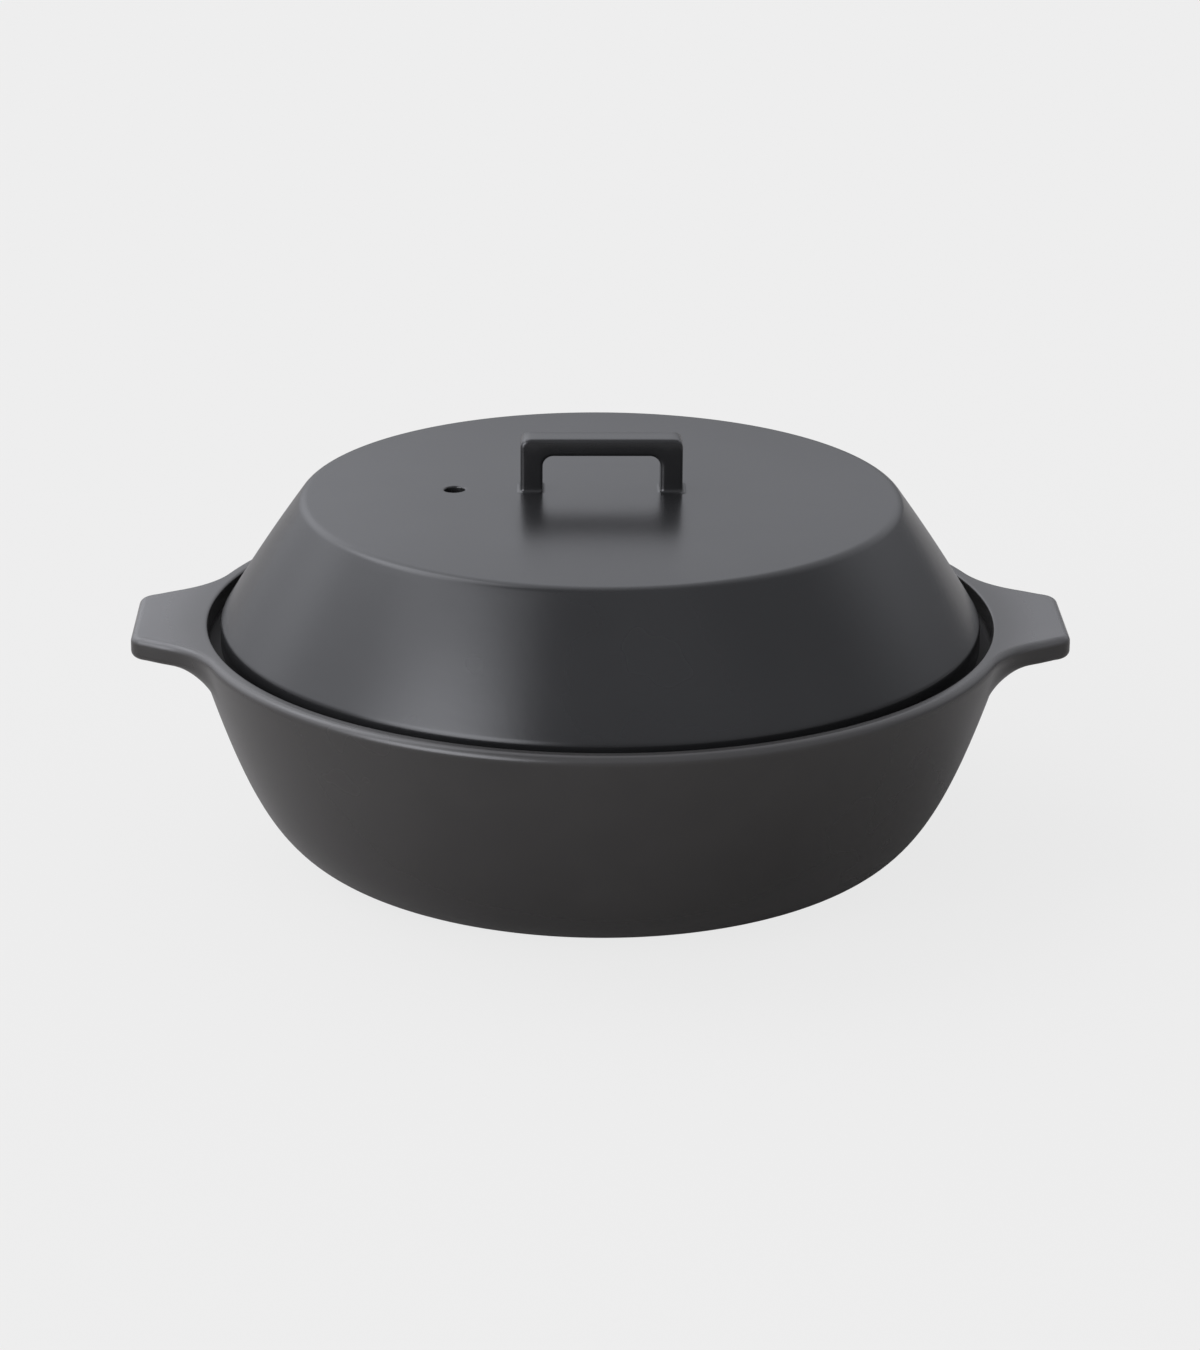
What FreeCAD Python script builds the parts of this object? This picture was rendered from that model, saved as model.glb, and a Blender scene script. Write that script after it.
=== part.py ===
import FreeCAD, Part
import math
import os

Vector = FreeCAD.Vector

# Millimetres. The origin is the middle of the foot, +Z is up and the two ears lie along X.

# Bowl
rim_radius = 135.4          # outer edge of the rim, before it is rounded
rim_height = 78.0
rim_width = 5.9
rim_edge_round = 2.5        # runs on round the ears
rim_inner_round = 1.0
foot_radius = 72.0
foot_recess_radius = 58.0
foot_recess_depth = 1.2
bowl_wall = 8.0
bowl_floor = 9.5
ledge_depth = 8.0           # from the rim down to the seat of the lid
ledge_width = 15.5
ledge_corner_round = 1.5
ledge_edge_round = 2.0
heel_shares = (0.48, 0.642, 0.035)   # swell of the wall: run along the foot, run and rise above it

# Ears
ear_reach = 18.3            # from the rim's outer edge to the tip
ear_tip_width = 42.6
ear_thickness = 7.5
ear_flank_angle = 32.0      # flank to the line through both ears, in degrees
ear_sweep_angle = 24.0      # how far the flank turns before it meets the bowl, in degrees
ear_sweep_radius = 36.0
ear_corner_round = 6.0
ear_lower_round = 2.0
ear_lower_limit_share = 0.3     # the most that this round takes of the thickness
ear_root_round = 11.0
ear_root_limit_share = 1.5      # a thin ear takes a smaller root round, by its thickness
ear_seat_proud = 2.0        # the ear is luted to a pad this far outside the rim

# Lid
lid_gap = 4.2               # between the lid and the rim, all round
lid_lip_proud = 1.6         # the lip's corner above the rim
lid_side_height = 40.3      # from the lip's corner up to the shoulder
lid_side_angle = 34.0       # side to the upright, in degrees
lid_crown_rise = 2.3
lid_wall = 6.5
lid_seat_width = 8.5
lid_shoulder_round = 4.0
lid_inner_round = 6.0
lid_lip_round = 4.8
lid_seat_round = 1.5
vent_diameter = 6.4
vent_offset = 48.0          # from the middle of the lid, towards the left ear
vent_edge_round = 0.8
vent_rim_checks = 5         # points looked at on an edge to tell whether it is a rim of the vent

# Lid handle
handle_length = 53.0
handle_depth = 10.5
handle_rise = 17.8          # top of the bar above the middle of the lid
handle_leg = 7.3
handle_bar = 5.8
handle_outer_round = 2.5
handle_inner_round = 3.5
handle_edge_round = 1.4
handle_foot_depth = 3.0     # the arch is cut to the lid's crown from this much below it

# Shared by all pieces
cut_overrun = 5.0
match_tolerance = 0.001
full_turn = 360.0

# Sizes that follow from those above
mouth_radius = rim_radius - rim_width
ledge_radius = mouth_radius - ledge_width
ledge_height = rim_height - ledge_depth
ear_tip = rim_radius + ear_reach
ear_seat_radius = rim_radius + ear_seat_proud
lower_round = min(ear_lower_round, ear_lower_limit_share * ear_thickness)
root_round = min(ear_root_round, ear_root_limit_share * ear_thickness)
lid_radius = mouth_radius - lid_gap
lip_height = rim_height + lid_lip_proud
shoulder_height = lip_height + lid_side_height
shoulder_radius = lid_radius - lid_side_height * math.tan(math.radians(lid_side_angle))
crown_height = shoulder_height + lid_crown_rise
handle_top = crown_height + handle_rise

axis_base = Vector(0, 0, 0)
up = Vector(0, 0, 1)


def at(radius, height):
    """A point of a turned outline, drawn in the plane of Y and Z so that no seam runs under an ear."""
    return Vector(0, radius, height)


def line(start, end):
    return Part.makeLine(start, end)


def curve(poles):
    bezier = Part.BezierCurve()
    bezier.setPoles(poles)
    return bezier.toShape()


def dome(radius, top, sag):
    """Arc from the middle of a crown down to its edge."""
    sphere = (radius ** 2 + sag ** 2) / (2 * sag)
    half_angle = math.asin(radius / sphere) / 2
    middle = at(sphere * math.sin(half_angle), top - sphere * (1 - math.cos(half_angle)))
    return Part.Arc(at(0, top), middle, at(radius, top - sag)).toShape()


def outline_face(edges):
    return Part.Face(Part.Wire(Part.__sortEdges__(edges)))


def turned(edges):
    return outline_face(edges).revolve(axis_base, up, full_turn)


def ring_edges(shape, radius, height):
    """Round edges about the upright axis with this radius and height."""
    found = []
    for edge in shape.Edges:
        if edge.Degenerated or not isinstance(edge.Curve, Part.Circle):
            continue
        right_radius = abs(edge.Curve.Radius - radius) < match_tolerance
        right_height = abs(edge.Curve.Center.z - height) < match_tolerance
        if right_radius and right_height:
            found.append(edge)
    return found


def level_edges(shape, height):
    """Edges that lie flat at this height."""
    found = []
    for edge in shape.Edges:
        low = abs(edge.BoundBox.ZMin - height) < match_tolerance
        high = abs(edge.BoundBox.ZMax - height) < match_tolerance
        if low and high:
            found.append(edge)
    return found


def rounded_corner(corner, way_in, way_out, radius):
    """Arc that rounds the corner between two straight runs, with its two ends."""
    half_turn = math.acos(way_in.dot(way_out)) / 2
    start = corner - way_in * (radius * math.tan(half_turn))
    end = corner + way_out * (radius * math.tan(half_turn))
    inwards = (way_out - way_in).normalize()
    middle = corner + inwards * (radius / math.cos(half_turn) - radius)
    return start, Part.Arc(start, middle, end).toShape(), end


def way(degrees):
    """Level direction, counted from the way to the bowl towards the back."""
    turn = math.radians(degrees)
    return Vector(-math.cos(turn), math.sin(turn), 0)


# Bowl and ears are shaped as one lump of clay, and the ears are then parted from it


def heel_poles():
    run, swell, rise = heel_shares
    spread = rim_radius - foot_radius
    return [
        (foot_radius, 0),
        (foot_radius + run * spread, 0),
        (foot_radius + swell * spread, rise * rim_height),
        (rim_radius, rim_height),
    ]


def solid_bowl():
    """The bowl's outside, filled up to the rim."""
    return turned([
        line(at(0, 0), at(foot_radius, 0)),
        curve([at(radius, height) for radius, height in heel_poles()]),
        line(at(rim_radius, rim_height), at(0, rim_height)),
        line(at(0, rim_height), at(0, 0)),
    ])


def ear_block():
    """The right ear as a flat block with a swept flank, running into the bowl."""
    base = rim_height - ear_thickness
    flank = way(ear_flank_angle)
    root = way(ear_flank_angle + ear_sweep_angle)
    tip_corner = Vector(ear_tip, ear_tip_width / 2, 0)
    along = tip_corner.dot(flank)
    to_rim = -along - math.sqrt(along ** 2 - tip_corner.dot(tip_corner) + rim_radius ** 2)
    rim_corner = tip_corner + flank * to_rim
    tip_end, tip_arc, flank_start = rounded_corner(tip_corner, Vector(0, 1, 0), flank, ear_corner_round)
    flank_end, sweep_arc, root_start = rounded_corner(rim_corner, flank, root, ear_sweep_radius)
    root_end = root_start + root * (ear_sweep_radius / 2)
    inner_end = ledge_radius / 2
    half = [
        line(Vector(ear_tip, 0, 0), tip_end),
        tip_arc,
        line(flank_start, flank_end),
        sweep_arc,
        line(root_start, root_end),
        line(root_end, Vector(inner_end, root_end.y, 0)),
        line(Vector(inner_end, root_end.y, 0), Vector(inner_end, 0, 0)),
    ]
    other_half = [edge.mirror(axis_base, Vector(0, 1, 0)) for edge in half]
    block = outline_face(half + other_half).extrude(up * ear_thickness)
    block.translate(up * base)
    outside = [edge for edge in level_edges(block, base) if edge.BoundBox.XMax > root_end.x + match_tolerance]
    return block.makeFillet(lower_round, outside)


def root_edges(shape):
    """Edges under the rim where the ears grow out of the bowl's wall."""
    lowest = rim_height - ear_thickness
    found = []
    for edge in shape.Edges:
        box = edge.BoundBox
        under_rim = lowest - match_tolerance < box.ZMin and box.ZMin < rim_height - match_tolerance
        middle = edge.valueAt((edge.FirstParameter + edge.LastParameter) / 2)
        on_wall = math.hypot(middle.x, middle.y) < rim_radius - match_tolerance
        if under_rim and on_wall:
            found.append(edge)
    return found


def pot_hollow():
    """The room inside: the mouth, the ledge for the lid and the cooking space below it."""
    foot, run, swell = heel_poles()[:3]
    floor_edge = at(foot[0] - bowl_wall, bowl_floor)
    poles = [
        floor_edge,
        at(run[0] - bowl_wall, bowl_floor),
        at(swell[0] - bowl_wall, swell[1] + bowl_floor),
        at(ledge_radius, ledge_height),
    ]
    top = rim_height + cut_overrun
    hollow = turned([
        line(at(0, bowl_floor), floor_edge),
        curve(poles),
        line(at(ledge_radius, ledge_height), at(mouth_radius, ledge_height)),
        line(at(mouth_radius, ledge_height), at(mouth_radius, top)),
        line(at(mouth_radius, top), at(0, top)),
        line(at(0, top), at(0, bowl_floor)),
    ])
    hollow = hollow.makeFillet(ledge_edge_round, ring_edges(hollow, ledge_radius, ledge_height))
    return hollow.makeFillet(ledge_corner_round, ring_edges(hollow, mouth_radius, ledge_height))


def foot_recess():
    """The shallow dish under the bowl, which leaves a flat ring to stand on."""
    return Part.makeCone(foot_recess_radius + foot_recess_depth, foot_recess_radius, foot_recess_depth)


def whole_pot():
    right = ear_block()
    left = right.mirror(axis_base, Vector(1, 0, 0))
    pot = solid_bowl().fuse([right, left]).removeSplitter()
    pot = pot.makeFillet(root_round, root_edges(pot))
    pot = pot.makeFillet(rim_edge_round, level_edges(pot, rim_height))
    pot = pot.cut(pot_hollow()).cut(foot_recess())
    return pot.makeFillet(rim_inner_round, ring_edges(pot, mouth_radius, rim_height))


def ear_zone():
    """Everything outside the pads that the ears are luted to."""
    height = rim_height + cut_overrun
    past_tips = Part.makeCylinder(math.hypot(ear_tip, ear_tip_width), height)
    return past_tips.cut(Part.makeCylinder(ear_seat_radius, height))


# Lid, with the vent through its crown


def lid_outside():
    """The lid's outer form, filled down to its seat."""
    lid = turned([
        dome(shoulder_radius, crown_height, lid_crown_rise),
        line(at(shoulder_radius, shoulder_height), at(lid_radius, lip_height)),
        line(at(lid_radius, lip_height), at(lid_radius, ledge_height)),
        line(at(lid_radius, ledge_height), at(0, ledge_height)),
        line(at(0, ledge_height), at(0, crown_height)),
    ])
    lid = lid.makeFillet(lid_shoulder_round, ring_edges(lid, shoulder_radius, shoulder_height))
    lid = lid.makeFillet(lid_lip_round, ring_edges(lid, lid_radius, lip_height))
    return lid.makeFillet(lid_seat_round, ring_edges(lid, lid_radius, ledge_height))


def lid_hollow():
    """The room under the lid, one wall inside its outer form and narrowed by the seat ring."""
    slope = math.radians(lid_side_angle)
    seat_radius = lid_radius - lid_seat_width
    roof_height = shoulder_height - lid_wall
    side_offset = lid_wall / math.cos(slope)
    roof_radius = shoulder_radius + lid_wall * math.tan(slope) - side_offset
    seat_top = lip_height + (lid_seat_width - side_offset) / math.tan(slope)
    bottom = ledge_height - cut_overrun
    hollow = turned([
        dome(roof_radius, roof_height + lid_crown_rise, lid_crown_rise),
        line(at(roof_radius, roof_height), at(seat_radius, seat_top)),
        line(at(seat_radius, seat_top), at(seat_radius, bottom)),
        line(at(seat_radius, bottom), at(0, bottom)),
        line(at(0, bottom), at(0, roof_height + lid_crown_rise)),
    ])
    hollow = hollow.makeFillet(lid_inner_round, ring_edges(hollow, roof_radius, roof_height))
    return hollow.makeFillet(lid_inner_round, ring_edges(hollow, seat_radius, seat_top))


def vent_edges(shape):
    """The two rims of the steam vent: the curved edges that run along its wall."""
    found = []
    for edge in shape.Edges:
        if edge.Degenerated or isinstance(edge.Curve, Part.Line):
            continue
        offsets = [math.hypot(point.x + vent_offset, point.y) for point in edge.discretize(vent_rim_checks)]
        if all(abs(offset - vent_diameter / 2) < vent_edge_round for offset in offsets):
            found.append(edge)
    return found


def lid_shell():
    lid = lid_outside().cut(lid_hollow())
    seat_radius = lid_radius - lid_seat_width
    lid = lid.makeFillet(lid_seat_round, ring_edges(lid, seat_radius, ledge_height))
    drill = Part.makeCylinder(vent_diameter / 2, crown_height, Vector(-vent_offset, 0, ledge_height))
    lid = lid.cut(drill)
    return lid.makeFillet(vent_edge_round, vent_edges(lid))


# Lid handle


def arch_outline(half_width, bottom, top, corner_round):
    """Upright outline with both upper corners rounded."""
    right_bottom = Vector(half_width, 0, bottom)
    left_bottom = Vector(-half_width, 0, bottom)
    right_end, right_arc, bar_start = rounded_corner(
        Vector(half_width, 0, top), up, Vector(-1, 0, 0), corner_round)
    bar_end, left_arc, left_start = rounded_corner(
        Vector(-half_width, 0, top), Vector(-1, 0, 0), -up, corner_round)
    return outline_face([
        line(right_bottom, right_end),
        right_arc,
        line(bar_start, bar_end),
        left_arc,
        line(left_start, left_bottom),
        line(left_bottom, right_bottom),
    ])


def lid_handle():
    bottom = crown_height - handle_foot_depth
    span = Vector(0, handle_depth, 0)
    arch = arch_outline(handle_length / 2, bottom, handle_top, handle_outer_round).extrude(span)
    finger_room = arch_outline(
        handle_length / 2 - handle_leg, bottom, handle_top - handle_bar, handle_inner_round).extrude(span)
    arch = arch.cut(finger_room)
    arch.translate(span / -2)
    faces_of_arch = []
    for edge in arch.Edges:
        box = edge.BoundBox
        on_front_or_back = box.YLength < match_tolerance
        if on_front_or_back and box.ZMax > bottom + match_tolerance:
            faces_of_arch.append(edge)
    arch = arch.makeFillet(handle_edge_round, faces_of_arch)
    return arch.cut(lid_outside())


def main():
    os.makedirs("parts", exist_ok=True)
    pot = whole_pot()
    zone = ear_zone()
    pieces = {
        "pot_bowl": pot.cut(zone),
        "lid_shell": lid_shell(),
        "lid_handle": lid_handle(),
    }
    for ear in pot.common(zone).Solids:
        side = "left_ear" if ear.CenterOfMass.x < 0 else "right_ear"
        pieces[side] = ear
    for node, shape in pieces.items():
        shape.exportStep("parts/" + node + ".step")


main()
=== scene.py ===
import math

import bmesh
import bpy
from mathutils import Matrix, Vector
from mathutils.geometry import delaunay_2d_cdt


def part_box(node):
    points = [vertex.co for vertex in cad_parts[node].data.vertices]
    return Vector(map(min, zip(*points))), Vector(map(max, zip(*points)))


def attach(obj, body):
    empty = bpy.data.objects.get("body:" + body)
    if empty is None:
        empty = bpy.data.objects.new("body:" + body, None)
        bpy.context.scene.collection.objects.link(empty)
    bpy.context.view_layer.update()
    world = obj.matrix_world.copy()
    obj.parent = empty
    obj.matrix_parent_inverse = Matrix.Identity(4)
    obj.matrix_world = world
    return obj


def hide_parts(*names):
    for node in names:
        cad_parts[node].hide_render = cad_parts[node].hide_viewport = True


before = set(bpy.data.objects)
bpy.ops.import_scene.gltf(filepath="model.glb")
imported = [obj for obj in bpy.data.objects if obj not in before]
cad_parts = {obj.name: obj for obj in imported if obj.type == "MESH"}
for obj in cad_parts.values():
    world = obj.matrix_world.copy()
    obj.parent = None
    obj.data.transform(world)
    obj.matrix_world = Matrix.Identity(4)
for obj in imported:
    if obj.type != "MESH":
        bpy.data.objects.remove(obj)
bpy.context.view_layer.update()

# Sizes that the frame gives, in metres
rim_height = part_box("pot_bowl")[1].z
ear_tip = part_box("right_ear")[1].x
lid_low, lid_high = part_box("lid_shell")
lid_radius = lid_high.x
seat_height = lid_low.z
crown_height = lid_high.z
handle_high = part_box("lid_handle")[1]

# Bowl
rim_radius = 0.1354
rim_width = 0.0059
rim_edge_round = 0.0025
rim_inner_round = 0.0009
foot_radius = 0.072
foot_round = 0.001
foot_recess_radius = 0.058
foot_recess_depth = 0.0012
bowl_wall = 0.008
bowl_floor = 0.0095
ledge_width = 0.0155
ledge_corner_round = 0.0015
ledge_edge_round = 0.002
heel_shares = (0.493, 0.652, 0.035)     # swell of the wall: run along the foot, run and rise above it
inside_start_share = 0.1                # where the inside's curve starts, and how far it pulls to the swell
inside_pull_share = 0.85
heel_steps = 400
heel_stride = 8                         # every eighth point of the heel goes into the mesh
rim_top_steps = 6
floor_curve_steps = 40
floor_steps = 10

# Ears
ear_tip_width = 0.0426
ear_thickness = 0.0079
ear_flank_angle = math.radians(32)
ear_corner_round = 0.006
ear_sweep_radius = 0.038
ear_lower_round = 0.0024
ear_root_depth = 0.0175
ear_full_reach = 0.013
ear_hug_shares = (0.58, 0.74)
slope_step = 1e-4                       # turn over which the slant of the top edge is taken
column_steps = (6, 14, 10, 22, 46)      # columns over half the tip, its corner, the flank, the sweep, the rim
ear_root_steps = 16
ear_lower_steps = 7
ear_side_steps = 3
ear_top_steps = 8

# Lid
lid_lip_proud = 0.0006
lid_side_height = 0.0413
lid_side_angle = math.radians(33.35)
lid_side_bow = 0.0008
lid_side_round = 0.55
lid_wall = 0.0065
lid_seat_width = 0.0085
lid_shoulder_round = 0.004
lid_inner_round = 0.006
lid_lip_round = 0.004
lid_seat_round = 0.0015
lid_turn_steps = 360
crown_steps = 32
roof_steps = 24
weld_distance = 1e-6

# Steam vent, and the finer faces round it
vent_radius = 0.0034
vent_offset = 0.048
vent_edge_round = 0.0006
vent_patch_reach = 0.011
vent_patch_rings = (0.0052, 0.0072)
vent_ring_steps = 40
vent_round_steps = 5
vent_weld = 1e-7
level_limit = 0.9                       # a face is level when its normal rises by this much

# Lid handle
handle_leg = 0.0073
handle_bar = 0.0058
handle_outer_round = 0.0026
handle_inner_round = 0.0035
handle_edge_round = 0.0014
handle_foot_flare = 0.0012
handle_foot_sink = 0.0004
bar_steps = 9
bend_steps = 14
leg_steps = 5
flare_steps = 6
bar_corner_steps = 5
least_part = 1e-9                       # keeps a division from zero

# Glaze: heights of the bare clay on the foot and on the lid's seat, and where the glaze on top turns thin and
# takes painted light, a lighter grey on upward-facing tops that stands in for the light falling on them
foot_line = 0.0011
seat_line = 0.0007
rim_thin_glaze_and_light_share = 0.1
thin_and_light_slope_start = 0.05
thin_and_light_slope_span = 0.35

# Colours and gloss of the glaze and the clay
pot_black = ((0.029, 0.0275, 0.0264, 1), (0.036, 0.0342, 0.0326, 1))
lid_black = ((0.0115, 0.0115, 0.0118, 1), (0.015, 0.015, 0.0153, 1))
# Grey of thin glaze, partly painted light: it lightens the upward-facing tops of the ears and rim as if lit
# from above
thin_glaze_and_painted_light_grey = (0.079, 0.0775, 0.0775, 1)
clay_dark = (0.33, 0.27, 0.21, 1)
clay_light = (0.44, 0.37, 0.29, 1)
satin_roughness = (0.22, 0.28)
dull_roughness = 0.75

# Noise in the glaze as (scale, detail), the parts of its range that count, and relief as (strength, depth)
drift_noise = (14, 3)
speckle_noise = (160, 2)
grain_noise = (420, 2)
colour_range = (0.3, 0.7)
gloss_range = (0.25, 0.75)
clay_line_range = (0.45, 0.55)
clay_line_waver = (-0.12, 0.12)
grain_relief = (0.06, 0.0003)
drift_relief = (0.1, 0.002)

# Sizes that follow
mouth_radius = rim_radius - rim_width
ledge_radius = mouth_radius - ledge_width
lip_height = rim_height + lid_lip_proud
shoulder_height = lip_height + lid_side_height
shoulder_radius = lid_radius - lid_side_height * math.tan(lid_side_angle)
crown_rise = crown_height - shoulder_height
roof_height = shoulder_height - lid_wall
roof_radius = shoulder_radius + lid_wall * math.tan(lid_side_angle) - lid_wall / math.cos(lid_side_angle)
seat_radius = lid_radius - lid_seat_width

# Small helpers for outlines, which are lists of (radius, height)
quarter_pull = 0.5523                   # pull of a cubic curve that makes a quarter circle


def mix(start, end, share):
    """Value between a start and an end."""
    return start + (end - start) * share


def smooth_step(value):
    """Share from 0 to 1 that starts and ends gently."""
    value = min(max(value, 0.0), 1.0)
    return value * value * (3 - 2 * value)


def bezier(first, first_pull, last_pull, last, steps):
    """Points of a cubic curve after its first point."""
    poles = (first, first_pull, last_pull, last)
    points = []
    for step in range(1, steps + 1):
        t = step / steps
        s = 1 - t
        shares = (s ** 3, 3 * s * s * t, 3 * s * t * t, t ** 3)
        points.append(tuple(sum(share * pole[axis] for share, pole in zip(shares, poles)) for axis in (0, 1)))
    return points


def straight(start, end, steps):
    """Points of a straight run after its start."""
    return [(mix(start[0], end[0], step / steps), mix(start[1], end[1], step / steps))
            for step in range(1, steps + 1)]


def rounded_corner(before, corner, after, radius, steps):
    """Points of the arc that rounds a corner between two runs."""
    corner = Vector(corner)
    way_in = (corner - Vector(before)).normalized()
    way_out = (Vector(after) - corner).normalized()
    half_turn = way_in.angle(way_out) / 2
    reach = radius * math.tan(half_turn)
    start, end = corner - way_in * reach, corner + way_out * reach
    pull = radius * 4 / 3 * math.tan(half_turn / 2)
    return [tuple(start)] + bezier(start, start + way_in * pull, end - way_out * pull, end, steps)


def outline(corners):
    """Outline through corners, each given as (point, radius of its round, steps of the round, steps of the
    run before it)."""
    points = [corners[0][0]]
    for number in range(1, len(corners)):
        corner, radius, round_steps, run_steps = corners[number]
        if radius == 0:
            points += straight(points[-1], corner, run_steps)
            continue
        arc = rounded_corner(corners[number - 1][0], corner, corners[number + 1][0], radius, round_steps)
        points += straight(points[-1], arc[0], run_steps) + arc[1:]
    return points


def crown_at(radius, middle=crown_height, edge_radius=shoulder_radius):
    """Height of a shallow crown at a distance from the middle of the lid."""
    return middle - crown_rise * (radius / edge_radius) ** 2


# Pot: bowl and ears, luted and glazed over as one skin


def ray_to_ring(angle, centre, radius, far):
    """Distance along a ray from the axis to a ring, at its far or near side."""
    way = Vector((math.cos(angle), math.sin(angle)))
    along = way.dot(centre)
    reach = math.sqrt(max(along ** 2 - centre.length_squared + radius ** 2, 0))
    return along + reach if far else along - reach


def ear_plan():
    """Flank, tip corner and root sweep of an ear seen from above, and the angles where each begins."""
    flank = Vector((-math.cos(ear_flank_angle), math.sin(ear_flank_angle)))
    outwards = Vector((math.sin(ear_flank_angle), math.cos(ear_flank_angle)))
    tip_corner = Vector((ear_tip, ear_tip_width / 2))
    flank_offset = outwards.dot(tip_corner)
    corner_reach = ear_corner_round * math.tan((math.pi / 2 - ear_flank_angle) / 2)
    corner_start = tip_corner - Vector((0, corner_reach))
    corner_end = tip_corner + flank * corner_reach
    corner_centre = corner_start - Vector((ear_corner_round, 0))
    sweep_offset = flank_offset + ear_sweep_radius
    back = math.sqrt((rim_radius + ear_sweep_radius) ** 2 - sweep_offset ** 2)
    sweep_centre = outwards * sweep_offset - flank * back
    sweep_start = sweep_centre - outwards * ear_sweep_radius
    ends = (corner_start, corner_end, sweep_start, sweep_centre)
    return outwards, flank_offset, corner_centre, sweep_centre, [math.atan2(end.y, end.x) for end in ends]


def top_edge_radius(angle, plan):
    """Radius of the pot's top edge, ears included, at an angle from the line through the ears."""
    outwards, flank_offset, corner_centre, sweep_centre, angles = plan
    tip_end, flank_start, sweep_start, rim_start = angles
    if angle < tip_end:
        return ear_tip / math.cos(angle)
    if angle < flank_start:
        return ray_to_ring(angle, corner_centre, ear_corner_round, True)
    if angle < sweep_start:
        return flank_offset / outwards.dot(Vector((math.cos(angle), math.sin(angle))))
    if angle < rim_start:
        return ray_to_ring(angle, sweep_centre, ear_sweep_radius, False)
    return rim_radius


def pot_angles(plan):
    """Angles of the pot's columns over a quarter turn, close together where the ear's outline bends."""
    bends = (0, *plan[-1], math.pi / 2)
    angles = [0.0]
    for start, end, steps in zip(bends, bends[1:], column_steps):
        angles += [mix(start, end, step / steps) for step in range(1, steps + 1)]
    return angles


def heel_poles():
    """Poles of the curve from the foot's edge, over the swell of the heel, to the rim."""
    run, swell, rise = heel_shares
    spread = rim_radius - foot_radius
    return [(foot_radius, 0), (foot_radius + run * spread, 0),
            (foot_radius + swell * spread, rise * rim_height), (rim_radius, rim_height)]


heel_curve = [heel_poles()[0]] + bezier(*heel_poles(), heel_steps)


def wall_radius(height):
    """Radius of the bowl's outside at a height, without ears."""
    for below, above in zip(heel_curve, heel_curve[1:]):
        if above[1] >= height:
            return mix(below[0], above[0], (height - below[1]) / (above[1] - below[1]))
    return rim_radius


root_height = rim_height - ear_root_depth
under_ear_height = rim_height - ear_thickness
heel_run = [point for point in heel_curve if point[1] < root_height][::heel_stride]
root_point = (wall_radius(root_height), root_height)
under_ear_point = (wall_radius(under_ear_height), under_ear_height)
wall_way = (Vector(under_ear_point) - Vector(root_point)).normalized()


def underside():
    """Outline from the middle of the base to the edge of the foot."""
    recess_edge = (foot_recess_radius, foot_recess_depth)
    ring_inside = (foot_recess_radius + foot_recess_depth, 0)
    return outline([
        ((0, foot_recess_depth), 0, 0, 0),
        (recess_edge, foot_round, 3, 12),
        (ring_inside, foot_round / 2, 3, 1),
        ((foot_radius, 0), 0, 0, 6),
    ])


def inside():
    """Outline from the top of the rim, over the ledge that carries the lid, to the middle of the floor."""
    run, swell = heel_poles()[1:3]
    ledge_edge = (ledge_radius, seat_height)
    swell_pull = (swell[0] - bowl_wall, swell[1] + bowl_floor)
    floor_edge = (foot_radius - bowl_wall, bowl_floor)
    wall_down = mix(Vector(ledge_edge), Vector(swell_pull), inside_start_share)
    points = outline([
        ((mouth_radius + 2 * rim_inner_round, rim_height), 0, 0, 0),
        ((mouth_radius, rim_height), rim_inner_round, 5, 1),
        ((mouth_radius, seat_height), ledge_corner_round, 5, 2),
        (ledge_edge, ledge_edge_round, 6, 5),
        (tuple(wall_down), 0, 0, 1),
    ])
    first = points[-1]
    first_pull = tuple(mix(Vector(first), Vector(swell_pull), inside_pull_share))
    points += bezier(first, first_pull, (run[0] - bowl_wall, bowl_floor), floor_edge, floor_curve_steps)
    return points + straight(floor_edge, (0, bowl_floor), floor_steps)


def ear_section(edge, stretch):
    """Outline from the wall below an ear, out under it and round its edge, to the flat top. Where the edge is
    the bare rim's, the wall goes straight up. stretch widens the rounds where a column cuts the edge at a
    slant."""
    reach = edge - rim_radius
    share = smooth_step(reach / ear_full_reach)

    def side(height):
        return edge - (rim_radius - wall_radius(height)) * (1 - share)

    wall_angle = math.atan2(wall_way.y, wall_way.x)
    out_angle = wall_angle * (1 - share)
    out_way = Vector((math.cos(out_angle), math.sin(out_angle)))
    root = Vector(root_point)
    corner = Vector(under_ear_point)
    lower = Vector((side(under_ear_height) - share * ear_lower_round * stretch, under_ear_height))
    length = (lower - root).length
    root_pull = mix(length / 3, ear_hug_shares[0] * (corner - root).length, share)
    lower_pull = mix(length / 3, ear_hug_shares[1] * abs(lower.x - corner.x), share)
    points = bezier(root, root + wall_way * root_pull, lower - out_way * lower_pull, lower, ear_root_steps)
    upper_height = under_ear_height + ear_lower_round
    upper = Vector((side(upper_height), upper_height))
    rim_corner = Vector((edge, rim_height))
    side_way = (rim_corner - upper).normalized()
    round_pull = mix(1 / 3, quarter_pull, share) * ear_lower_round
    round_start = lower + out_way * round_pull * mix(1, stretch, share)
    points += bezier(lower, round_start, upper - side_way * round_pull, upper, ear_lower_steps)
    turn = side_way.angle(Vector((-1, 0)))
    top_reach = rim_edge_round * math.tan(turn / 2)
    top_pull = rim_edge_round * 4 / 3 * math.tan(turn / 4)
    top_start = rim_corner - side_way * top_reach
    top_end = rim_corner - Vector((top_reach * stretch, 0))
    points += straight(upper, top_start, ear_side_steps)
    last_pull = top_end + Vector((top_pull * stretch, 0))
    points += bezier(top_start, top_start + side_way * top_pull, last_pull, top_end, ear_top_steps)
    return points


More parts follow.
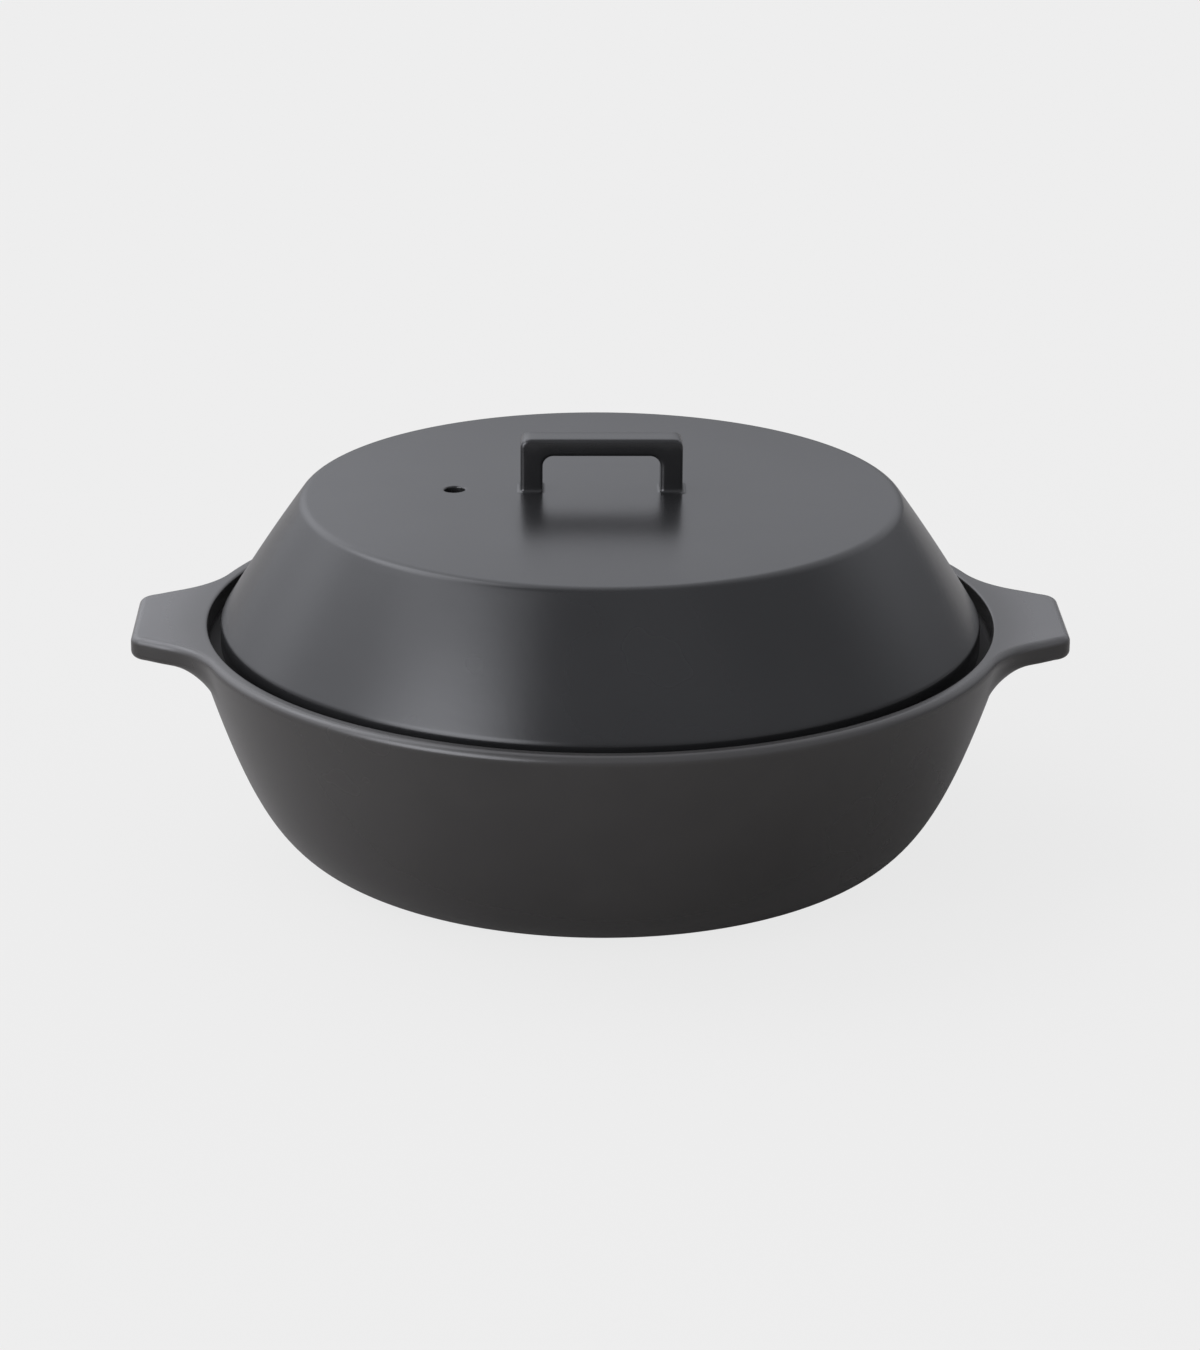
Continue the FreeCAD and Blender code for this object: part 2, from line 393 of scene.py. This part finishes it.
def pot_columns():
    """Each column of the pot's skin as (angle, outline), once round."""
    plan = ear_plan()
    base, room = underside(), inside()
    columns = []
    for angle in pot_angles(plan):
        edge = top_edge_radius(angle, plan)
        ahead = top_edge_radius(angle + slope_step, plan)
        slope = (ahead - edge) / slope_step / edge
        section = ear_section(edge, math.sqrt(1 + slope ** 2))
        top = straight(section[-1], room[0], rim_top_steps)
        columns.append((angle, base + heel_run[1:] + [root_point] + section + top + room[1:]))
    half = columns + [(math.pi - angle, points) for angle, points in reversed(columns[:-1])]
    return half + [(2 * math.pi - angle, points) for angle, points in reversed(half[1:-1])]


def skin_mesh(name, columns):
    """Closed mesh through columns of points about the upright axis, whose first and last points are the two
    middles."""
    builder = bmesh.new()
    rows = len(columns[0][1])
    bottom = builder.verts.new((0, 0, columns[0][1][0][1]))
    top = builder.verts.new((0, 0, columns[0][1][-1][1]))
    lines = []
    for angle, points in columns:
        line = [builder.verts.new((radius * math.cos(angle), radius * math.sin(angle), height))
                for radius, height in points[1:-1]]
        lines.append([bottom] + line + [top])
    for number, line in enumerate(lines):
        following = lines[(number + 1) % len(lines)]
        for row in range(rows - 1):
            corners = [line[row], following[row], following[row + 1], line[row + 1]]
            builder.faces.new(list(dict.fromkeys(corners)))
    bmesh.ops.recalc_face_normals(builder, faces=builder.faces)
    return finished_mesh(name, builder)


def finished_mesh(name, builder):
    """Smooth mesh of what was built."""
    mesh = bpy.data.meshes.new(name)
    builder.to_mesh(mesh)
    builder.free()
    mesh.shade_smooth()
    return mesh


# Lid: a turned form, with the steam vent cut through its crown


def crown_run(middle, edge_radius, steps):
    """Points of a crown from its middle to just short of its edge."""
    return [(edge_radius * step / steps, crown_at(edge_radius * step / steps, middle, edge_radius))
            for step in range(steps)]


def roof_at(radius):
    """Height of the lid's roof at a distance from its middle."""
    return crown_at(radius, roof_height + crown_rise, roof_radius)


def lid_outline():
    """Outline of the lid from the middle of its crown, over side and seat, to the middle of its roof."""
    slope = math.tan(lid_side_angle)
    side_offset = lid_wall / math.cos(lid_side_angle)
    seat_top = lip_height + (lid_seat_width - side_offset) / slope
    side_middle = ((shoulder_radius + lid_radius) / 2 + lid_side_bow * math.cos(lid_side_angle),
                   (shoulder_height + lip_height) / 2 + lid_side_bow * math.sin(lid_side_angle))
    crown = crown_run(crown_height, shoulder_radius, crown_steps)
    roof = crown_run(roof_height + crown_rise, roof_radius, roof_steps)[::-1]
    return crown[:-1] + outline([
        (crown[-1], 0, 0, 0),
        ((shoulder_radius, shoulder_height), lid_shoulder_round, 10, 1),
        (side_middle, lid_side_round, 12, 2),
        ((lid_radius, lip_height), lid_lip_round, 12, 2),
        ((lid_radius, seat_height), lid_seat_round, 6, 2),
        ((seat_radius, seat_height), lid_seat_round, 6, 4),
        ((seat_radius, seat_top), lid_inner_round, 8, 2),
        ((roof_radius, roof_height), lid_inner_round, 8, 12),
        (roof[0], 0, 0, 1),
    ]) + roof[1:]


def add_node(tree, kind, inputs=(), **settings):
    """Adds a node, sets its options and wires or fills its inputs, given as (socket, source or value)."""
    node = tree.nodes.new(kind)
    for name, value in settings.items():
        setattr(node, name, value)
    for socket, source in inputs:
        if isinstance(source, bpy.types.NodeSocket):
            tree.links.new(source, node.inputs[socket])
        else:
            node.inputs[socket].default_value = source
    return node


def math_node(tree, operation, *values):
    """Result of one sum on sockets or numbers."""
    return add_node(tree, "ShaderNodeMath", list(enumerate(values)), operation=operation).outputs[0]


def turned_form_tree():
    """Tree that turns an outline, drawn in the plane of X and Z, about the upright axis."""
    tree = bpy.data.node_groups.new("turned_form", "GeometryNodeTree")
    face = tree.interface
    face.new_socket("Outline", in_out="INPUT", socket_type="NodeSocketGeometry")
    face.new_socket("Turn steps", in_out="INPUT", socket_type="NodeSocketInt")
    face.new_socket("Weld distance", in_out="INPUT", socket_type="NodeSocketFloat")
    face.new_socket("Finish", in_out="INPUT", socket_type="NodeSocketMaterial")
    face.new_socket("Form", in_out="OUTPUT", socket_type="NodeSocketGeometry")
    given = tree.nodes.new("NodeGroupInput").outputs
    size = add_node(tree, "GeometryNodeAttributeDomainSize", [("Geometry", given["Outline"])])
    points = size.outputs["Point Count"]
    lattice = add_node(tree, "GeometryNodeMeshGrid", [
        ("Vertices X", math_node(tree, "ADD", given["Turn steps"], 1)), ("Vertices Y", points)])
    index = tree.nodes.new("GeometryNodeInputIndex").outputs[0]
    turn = math_node(tree, "FLOOR", math_node(tree, "DIVIDE", index, points))
    along = math_node(tree, "SUBTRACT", index, math_node(tree, "MULTIPLY", turn, points))
    place = tree.nodes.new("GeometryNodeInputPosition").outputs[0]
    sample = add_node(tree, "GeometryNodeSampleIndex", [
        ("Geometry", given["Outline"]), ("Value", place), ("Index", along)], data_type="FLOAT_VECTOR")
    apart = add_node(tree, "ShaderNodeSeparateXYZ", [(0, sample.outputs[0])]).outputs
    angle = math_node(tree, "DIVIDE", math_node(tree, "MULTIPLY", turn, math.tau), given["Turn steps"])
    spun = add_node(tree, "ShaderNodeCombineXYZ", [
        ("X", math_node(tree, "MULTIPLY", apart["X"], math_node(tree, "COSINE", angle))),
        ("Y", math_node(tree, "MULTIPLY", apart["X"], math_node(tree, "SINE", angle))),
        ("Z", apart["Z"])])
    placed = add_node(tree, "GeometryNodeSetPosition", [
        ("Geometry", lattice.outputs["Mesh"]), ("Position", spun.outputs[0])])
    welded = add_node(tree, "GeometryNodeMergeByDistance", [
        ("Geometry", placed.outputs[0]), ("Distance", given["Weld distance"])])
    smooth = add_node(tree, "GeometryNodeSetShadeSmooth", [("Geometry", welded.outputs[0])])
    real = add_node(tree, "GeometryNodeRealizeInstances", [("Geometry", smooth.outputs[0])])
    painted = add_node(tree, "GeometryNodeSetMaterial", [
        ("Geometry", real.outputs[0]), ("Material", given["Finish"])])
    add_node(tree, "NodeGroupOutput", [("Form", painted.outputs[0])])
    return tree


def turned_mesh(name, points, steps, finish):
    """Plain mesh of an outline turned about the upright axis."""
    drawn = bpy.data.meshes.new(name + "_outline")
    runs = [(number, number + 1) for number in range(len(points) - 1)]
    drawn.from_pydata([(radius, 0, height) for radius, height in points], runs, [])
    holder = bpy.data.objects.new(name + "_outline", drawn)
    bpy.context.scene.collection.objects.link(holder)
    tree = turned_form_tree()
    modifier = holder.modifiers.new("turned_form", "NODES")
    modifier.node_group = tree
    sockets = {item.name: item.identifier for item in tree.interface.items_tree if item.in_out == "INPUT"}
    modifier[sockets["Turn steps"]] = steps
    modifier[sockets["Weld distance"]] = weld_distance
    modifier[sockets["Finish"]] = finish
    graph = bpy.context.evaluated_depsgraph_get()
    mesh = bpy.data.meshes.new_from_object(holder.evaluated_get(graph))
    mesh.name = name
    holder.modifiers.remove(modifier)
    bpy.data.objects.remove(holder)
    return mesh


def loop_of(edges):
    """Vertices of a closed chain of edges, in order."""
    links = {}
    for edge in edges:
        for one, other in (edge.verts, reversed(edge.verts)):
            links.setdefault(one, []).append(other)
    chain = [next(iter(links))]
    while True:
        ahead = [vert for vert in links[chain[-1]] if vert not in chain[-2:]]
        if not ahead or (len(chain) > 2 and ahead[0] is chain[0]):
            return chain
        chain.append(ahead[0])


def ring_round_vent(radius):
    """Points of a level ring round the middle of the vent."""
    turns = [math.tau * step / vent_ring_steps for step in range(vent_ring_steps)]
    return [Vector((-vent_offset, 0)) + Vector((math.cos(turn), math.sin(turn))) * radius for turn in turns]


def vent_patch(builder, height_at, facing):
    """Swaps the faces round the vent for finer ones that end in a ring, and returns the ring's vertices."""
    middle = Vector((-vent_offset, 0))
    level = [face for face in builder.faces if face.normal.z * facing > level_limit]
    old = [face for face in level if (face.calc_center_median().xy - middle).length < vent_patch_reach]
    chosen = set(old)
    rim = [edge for face in old for edge in face.edges if len(chosen.intersection(edge.link_faces)) == 1]
    border = loop_of(set(rim))
    bmesh.ops.delete(builder, geom=old, context="FACES")
    hole_radius = vent_radius + vent_edge_round
    flat = [vert.co.xy for vert in border]
    for radius in (hole_radius, *vent_patch_rings):
        flat += ring_round_vent(radius)
    first = len(border)
    border_edges = [(i, (i + 1) % first) for i in range(first)]
    ring_edges = [(first + i, first + (i + 1) % vent_ring_steps) for i in range(vent_ring_steps)]
    filled = delaunay_2d_cdt(flat, border_edges + ring_edges, [list(range(first))], 1, vent_weld)
    places, _, faces, origins, _, _ = filled
    verts = []
    for place, origin in zip(places, origins):
        kept = [number for number in origin if number < first]
        verts.append(border[kept[0]] if kept else builder.verts.new((*place, height_at(place.length))))
    made = {origin[0]: vert for origin, vert in zip(origins, verts)}
    for face in faces:
        centre = sum((places[number] for number in face), Vector((0, 0))) / len(face)
        if (centre - middle).length > hole_radius * math.cos(math.pi / vent_ring_steps):
            builder.faces.new([verts[number] for number in face])
    return [made[first + i] for i in range(vent_ring_steps)]


def open_vent(mesh):
    """Cuts the steam vent through the lid, with soft rims, and lines it."""
    builder = bmesh.new()
    builder.from_mesh(mesh)
    bmesh.ops.recalc_face_normals(builder, faces=builder.faces)
    builder.faces.ensure_lookup_table()
    finish = builder.faces[0].material_index
    ring_above = vent_patch(builder, crown_at, 1)
    ring_below = vent_patch(builder, roof_at, -1)
    lining = [ring_above]
    turns = [math.pi / 2 * step / vent_round_steps for step in range(1, vent_round_steps + 1)]
    downs = [(crown_at, turn, -1) for turn in turns] + [(roof_at, turn, 1) for turn in reversed(turns)]
    for height_at, turn, side in downs:
        radius = vent_radius + vent_edge_round * (1 - math.sin(turn))
        drop = vent_edge_round * (1 - math.cos(turn))
        lining.append([builder.verts.new((*place, height_at(place.length) + side * drop))
                       for place in ring_round_vent(radius)])
    lining.append(ring_below)
    for upper, lower in zip(lining, lining[1:]):
        for i in range(vent_ring_steps):
            j = (i + 1) % vent_ring_steps
            builder.faces.new((upper[i], upper[j], lower[j], lower[i]))
    bmesh.ops.recalc_face_normals(builder, faces=builder.faces)
    for face in builder.faces:
        face.smooth = True
        face.material_index = finish
    builder.to_mesh(mesh)
    builder.free()


# Lid handle: a square arch with soft edges, and feet that flare where the glaze has pooled


def handle_stations():
    """Stations (inner point, outer point, flare) across the arch, from mid bar down to a foot."""
    half = handle_high.x
    top = handle_high.z
    inner_side, inner_top = half - handle_leg, top - handle_bar
    bend = Vector((inner_side - handle_inner_round, inner_top - handle_inner_round))
    soft = Vector((half - handle_outer_round, top - handle_outer_round))
    stations = []
    for step in range(bar_steps):
        x = bend.x * step / bar_steps
        stations.append(((x, inner_top), (x, top), 0))
    for step in range(bend_steps + 1):
        turn = math.pi / 2 * (1 - step / bend_steps)
        way = Vector((math.cos(turn), math.sin(turn)))
        reach = min((half - bend.x) / max(way.x, least_part), (top - bend.y) / max(way.y, least_part))
        outer = bend + way * reach
        if outer.x > soft.x and outer.y > soft.y:
            along = way.dot(soft - bend)
            reach = along + math.sqrt(along ** 2 - (soft - bend).length_squared + handle_outer_round ** 2)
            outer = bend + way * reach
        stations.append((tuple(bend + way * handle_inner_round), tuple(outer), 0))
    foot = crown_at(half - handle_leg / 2)
    flare_top = foot + handle_foot_flare
    for step in range(1, leg_steps + 1):
        z = mix(bend.y, flare_top, step / leg_steps)
        stations.append(((inner_side, z), (half, z), 0))
    for step in range(1, flare_steps + 1):
        turn = math.pi / 2 * step / flare_steps
        z = foot + handle_foot_flare * (1 - math.sin(turn))
        stations.append(((inner_side, z), (half, z), handle_foot_flare * (1 - math.cos(turn))))
    z = foot - handle_foot_sink
    stations.append(((inner_side, z), (half, z), handle_foot_flare))
    return stations


def bar_ring(inner, outer, flare):
    """Points of the bar's rounded section between an inner and an outer point of the arch."""
    inner, outer = Vector(inner), Vector(outer)
    across = (outer - inner).normalized()
    width = (outer - inner).length / 2 + flare
    depth = handle_high.y + flare
    radius = handle_edge_round + flare / 2
    centre = (inner + outer) / 2
    points = []
    for quarter, (side, face) in enumerate(((1, 1), (-1, 1), (-1, -1), (1, -1))):
        for step in range(bar_corner_steps + 1):
            turn = math.pi / 2 * (quarter + step / bar_corner_steps)
            offset = side * (width - radius) + radius * math.cos(turn)
            place = centre + across * offset
            points.append((place.x, face * (depth - radius) + radius * math.sin(turn), place.y))
    return points


def handle_mesh(name):
    """Closed mesh of the arch, the right half mirrored to the left."""
    right = [bar_ring(*station) for station in handle_stations()]
    left = [[(-x, y, z) for x, y, z in ring] for ring in right[:0:-1]]
    builder = bmesh.new()
    rings = [[builder.verts.new(point) for point in ring] for ring in left + right]
    count = len(rings[0])
    for one, other in zip(rings, rings[1:]):
        for i in range(count):
            j = (i + 1) % count
            builder.faces.new((one[i], one[j], other[j], other[i]))
    builder.faces.new(rings[0])
    builder.faces.new(rings[-1])
    bmesh.ops.recalc_face_normals(builder, faces=builder.faces)
    return finished_mesh(name, builder)


# Finishes


def mark_points(mesh, name, share_at):
    """Writes a share on each point of a mesh, for the glaze to read."""
    shares = [share_at(vert.co, vert.normal) for vert in mesh.vertices]
    mesh.attributes.new(name, "FLOAT", "POINT").data.foreach_set("value", shares)


def thin_glaze_and_painted_top_light(place, facing):
    """Thin glaze on the top and over the edge of the ears and, much less, of the rim, with painted light: the
    grey is strongest on upward-facing tops, where it stands in for the light falling on them.
    """
    if place.z < rim_height - 2 * rim_edge_round:
        return 0.0
    on_ear = smooth_step((place.xy.length - mouth_radius) / (3 * rim_width))
    return mix(rim_thin_glaze_and_light_share, 1, on_ear) * smooth_step((facing.z - thin_and_light_slope_start) / thin_and_light_slope_span)


def wiped_ledge(place, facing):
    """Ledge that is wiped before firing, so that the lid does not stick to it."""
    on_ring = ledge_radius < place.xy.length < mouth_radius
    return 1.0 if on_ring and abs(place.z - seat_height) < ledge_corner_round else 0.0


def bare_foot(place, facing):
    """Bare clay on the foot ring, up to a glaze line under the swell. The ring's hollow is glazed."""
    if place.xy.length <= foot_recess_radius:
        return 0.0
    return 1 - smooth_step(place.z / (2 * foot_line))


def bare_seat(place, facing):
    """Bare clay on the underside of the lid's seat."""
    return 1 - smooth_step((place.z - seat_height) / (2 * seat_line))


def mix_colours(tree, share, one, other):
    """Colour between two colours."""
    node = add_node(tree, "ShaderNodeMix", [(0, share), (6, one), (7, other)], data_type="RGBA")
    return node.outputs[2]


def ranged(tree, value, low, high, low_result, high_result):
    """Value taken gently from one range to another, and held at the ends."""
    limits = [("From Min", low), ("From Max", high), ("To Min", low_result), ("To Max", high_result)]
    node = add_node(tree, "ShaderNodeMapRange", [("Value", value)] + limits, interpolation_type="SMOOTHSTEP")
    return node.outputs[0]


def satin_glaze(name, deep, light):
    """Satin black glaze, greyer where it is thin and where light is painted onto upward-facing tops, that
    leaves clay bare on the foot and the lid's seat.
    """
    material = bpy.data.materials.new(name)
    material.use_nodes = True
    tree = material.node_tree
    shader = tree.nodes["Principled BSDF"]
    place = tree.nodes.new("ShaderNodeTexCoord").outputs["Object"]

    def noise(scale, detail):
        inputs = [("Vector", place), ("Scale", scale), ("Detail", detail)]
        return add_node(tree, "ShaderNodeTexNoise", inputs).outputs[0]

    def marked(attribute):
        return add_node(tree, "ShaderNodeAttribute", attribute_name=attribute).outputs["Fac"]

    def relief(strength, depth, height, *below):
        inputs = [("Strength", strength), ("Distance", depth), ("Height", height)]
        return add_node(tree, "ShaderNodeBump", inputs + [("Normal", normal) for normal in below]).outputs[0]

    drift, speckle, grain = noise(*drift_noise), noise(*speckle_noise), noise(*grain_noise)
    thin_and_painted_light, wiped, bare = marked("thin_glaze_and_painted_light"), marked("wiped_glaze"), marked("bare_clay")
    clay_line = math_node(tree, "ADD", bare, ranged(tree, speckle, *colour_range, *clay_line_waver))
    clay_share = ranged(tree, clay_line, *clay_line_range, 0, 1)
    body = mix_colours(tree, ranged(tree, drift, *colour_range, 0, 1), deep, light)
    # Lighter grey for thin glaze, and painted light on the upward-facing tops of the ears and rim
    coat = mix_colours(tree, thin_and_painted_light, body, thin_glaze_and_painted_light_grey)
    clay = mix_colours(tree, speckle, clay_dark, clay_light)
    tree.links.new(mix_colours(tree, clay_share, coat, clay), shader.inputs["Base Color"])
    satin = ranged(tree, drift, *gloss_range, *satin_roughness)
    dull = math_node(tree, "MAXIMUM", wiped, clay_share)
    rough = add_node(tree, "ShaderNodeMix", [(0, dull), (2, satin), (3, dull_roughness)], data_type="FLOAT")
    tree.links.new(rough.outputs[0], shader.inputs["Roughness"])
    fine = relief(*grain_relief, grain)
    tree.links.new(relief(*drift_relief, drift, fine), shader.inputs["Normal"])
    return material


# Pieces


def add_piece(name, mesh, body, *nodes):
    """Adds a finished piece that rides a body and stands for its nodes."""
    piece = bpy.data.objects.new(name, mesh)
    bpy.context.scene.collection.objects.link(piece)
    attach(piece, body)
    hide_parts(*nodes)


pot_glaze = satin_glaze("black_satin_pot_glaze", *pot_black)
lid_glaze = satin_glaze("black_satin_lid_glaze", *lid_black)

pot_mesh = skin_mesh("glazed_pot", pot_columns())
# Thin glaze, and painted light on the tops of the ears and rim
mark_points(pot_mesh, "thin_glaze_and_painted_light", thin_glaze_and_painted_top_light)
mark_points(pot_mesh, "wiped_glaze", wiped_ledge)
mark_points(pot_mesh, "bare_clay", bare_foot)
pot_mesh.materials.append(pot_glaze)
add_piece("glazed_pot", pot_mesh, "pot", "pot_bowl", "left_ear", "right_ear")

lid_mesh = turned_mesh("glazed_lid", lid_outline(), lid_turn_steps, lid_glaze)
open_vent(lid_mesh)
mark_points(lid_mesh, "bare_clay", bare_seat)
add_piece("glazed_lid", lid_mesh, "lid", "lid_shell")

arch_mesh = handle_mesh("glazed_lid_handle")
arch_mesh.materials.append(lid_glaze)
add_piece("glazed_lid_handle", arch_mesh, "lid", "lid_handle")

# Stage: pale floor, soft light from the room alone, camera

floor_half_size = 8
floor_colour = (0.34, 0.328, 0.312, 1)
floor_roughness = 0.9
floor_seen_colour = (0.925, 0.925, 0.925, 1)
floor_seen_share = 0.85
backdrop = (0.84, 0.84, 0.84, 1)

# Light of the room: an even level, and a back wall that rises to its own level and is lighter on the left
cool_light = (0.97, 0.985, 1.05, 1)
room_level = 0.24
wall_level = 0.77
wall_rise = (-0.02, 0.45)
wall_depth = (-0.1, 0.5)
wall_width = (-0.15, 0.15)
wall_sides = (1.13, 0.87)

# Soft patches of light in the room: azimuth from the front towards the left, elevation, angle of the full
# part, angle where it has faded, all in degrees, and strength
room_glows = (
    (138, 10, 4, 42, 0.5),
    (105, 30, 4, 36, 0.55),
    (80, 34, 4, 30, 0.9),
    (58, 40, 12, 28, 1.0),
    (46, 16, 6, 32, 4.7),
    (145, 42, 8, 28, 0.45),
    (112, 54, 6, 26, 2.6),
    (-50, 42, 10, 60, 0.3),
)

# Camera: sensor and lens in millimetres, angles in degrees, lengths in metres
sensor_width = 36
camera_lens = 118.07
camera_azimuth = 1.2
camera_elevation = 19.483
camera_roll = 0.369
camera_distance = 1.47222
camera_aim = Vector((0, 0, 0.0571))
camera_reach = 100


def heading(azimuth, elevation):
    """Direction from the pot, by an angle from the front towards the left and an angle above the floor."""
    turn, rise = math.radians(azimuth), math.radians(elevation)
    return Vector((-math.sin(turn) * math.cos(rise), -math.cos(turn) * math.cos(rise), math.sin(rise)))


def pale_floor():
    """Floor that the camera sees almost evenly pale, with the pot's faint shadow."""
    builder = bmesh.new()
    bmesh.ops.create_grid(builder, x_segments=1, y_segments=1, size=floor_half_size)
    mesh = bpy.data.meshes.new("pale_floor")
    builder.to_mesh(mesh)
    builder.free()
    floor = bpy.data.objects.new("pale_floor", mesh)
    bpy.context.scene.collection.objects.link(floor)
    material = bpy.data.materials.new("pale_floor")
    material.use_nodes = True
    tree = material.node_tree
    plain = tree.nodes["Principled BSDF"]
    plain.inputs["Base Color"].default_value = floor_colour
    plain.inputs["Roughness"].default_value = floor_roughness
    glow = add_node(tree, "ShaderNodeEmission", [("Color", floor_seen_colour)])
    path = tree.nodes.new("ShaderNodeLightPath").outputs
    seen = math_node(tree, "MULTIPLY", path["Is Camera Ray"], floor_seen_share)
    both = add_node(tree, "ShaderNodeMixShader", [(0, seen), (1, plain.outputs[0]), (2, glow.outputs[0])])
    tree.links.new(both.outputs[0], tree.nodes["Material Output"].inputs["Surface"])
    floor.data.materials.append(material)


def studio_world():
    """Soft light of the room on the pot, and an even backdrop for the camera."""
    world = bpy.data.worlds.new("studio")
    bpy.context.scene.world = world
    world.use_nodes = True
    tree = world.node_tree
    tree.nodes.clear()
    way = tree.nodes.new("ShaderNodeTexCoord").outputs["Generated"]
    along = add_node(tree, "ShaderNodeSeparateXYZ", [(0, way)]).outputs
    wall = math_node(tree, "MULTIPLY", ranged(tree, along["Z"], *wall_rise, 0, wall_level),
                     ranged(tree, along["X"], *wall_width, *wall_sides))
    back_wall = math_node(tree, "MULTIPLY", wall, ranged(tree, along["Y"], *wall_depth, 0, 1))
    level = math_node(tree, "ADD", back_wall, room_level)
    for azimuth, elevation, full, faded, strength in room_glows:
        towards = [(0, way), (1, heading(azimuth, elevation))]
        nearness = add_node(tree, "ShaderNodeVectorMath", towards, operation="DOT_PRODUCT").outputs["Value"]
        edges = (math.cos(math.radians(faded)), math.cos(math.radians(full)))
        level = math_node(tree, "ADD", level, ranged(tree, nearness, *edges, 0, strength))
    room = add_node(tree, "ShaderNodeBackground", [("Color", cool_light), ("Strength", level)])
    plain = add_node(tree, "ShaderNodeBackground", [("Color", backdrop)])
    path = tree.nodes.new("ShaderNodeLightPath").outputs
    both = add_node(tree, "ShaderNodeMixShader", [
        (0, path["Is Camera Ray"]), (1, room.outputs[0]), (2, plain.outputs[0])])
    add_node(tree, "ShaderNodeOutputWorld", [("Surface", both.outputs[0])])


def photo_camera():
    """Camera at the photograph's angle, a little above the lid and a touch to the left."""
    lens = bpy.data.cameras.new("photo_camera")
    lens.sensor_width = sensor_width
    lens.lens = camera_lens
    lens.clip_end = camera_reach
    camera = bpy.data.objects.new("photo_camera", lens)
    way = heading(camera_azimuth, camera_elevation)
    camera.location = camera_aim + way * camera_distance
    facing = (-way).to_track_quat("-Z", "Y").to_matrix().to_4x4()
    camera.rotation_euler = (facing @ Matrix.Rotation(math.radians(camera_roll), 4, "Z")).to_euler()
    bpy.context.scene.collection.objects.link(camera)
    bpy.context.scene.camera = camera


pale_floor()
studio_world()
photo_camera()
bpy.context.scene.view_settings.view_transform = "Standard"
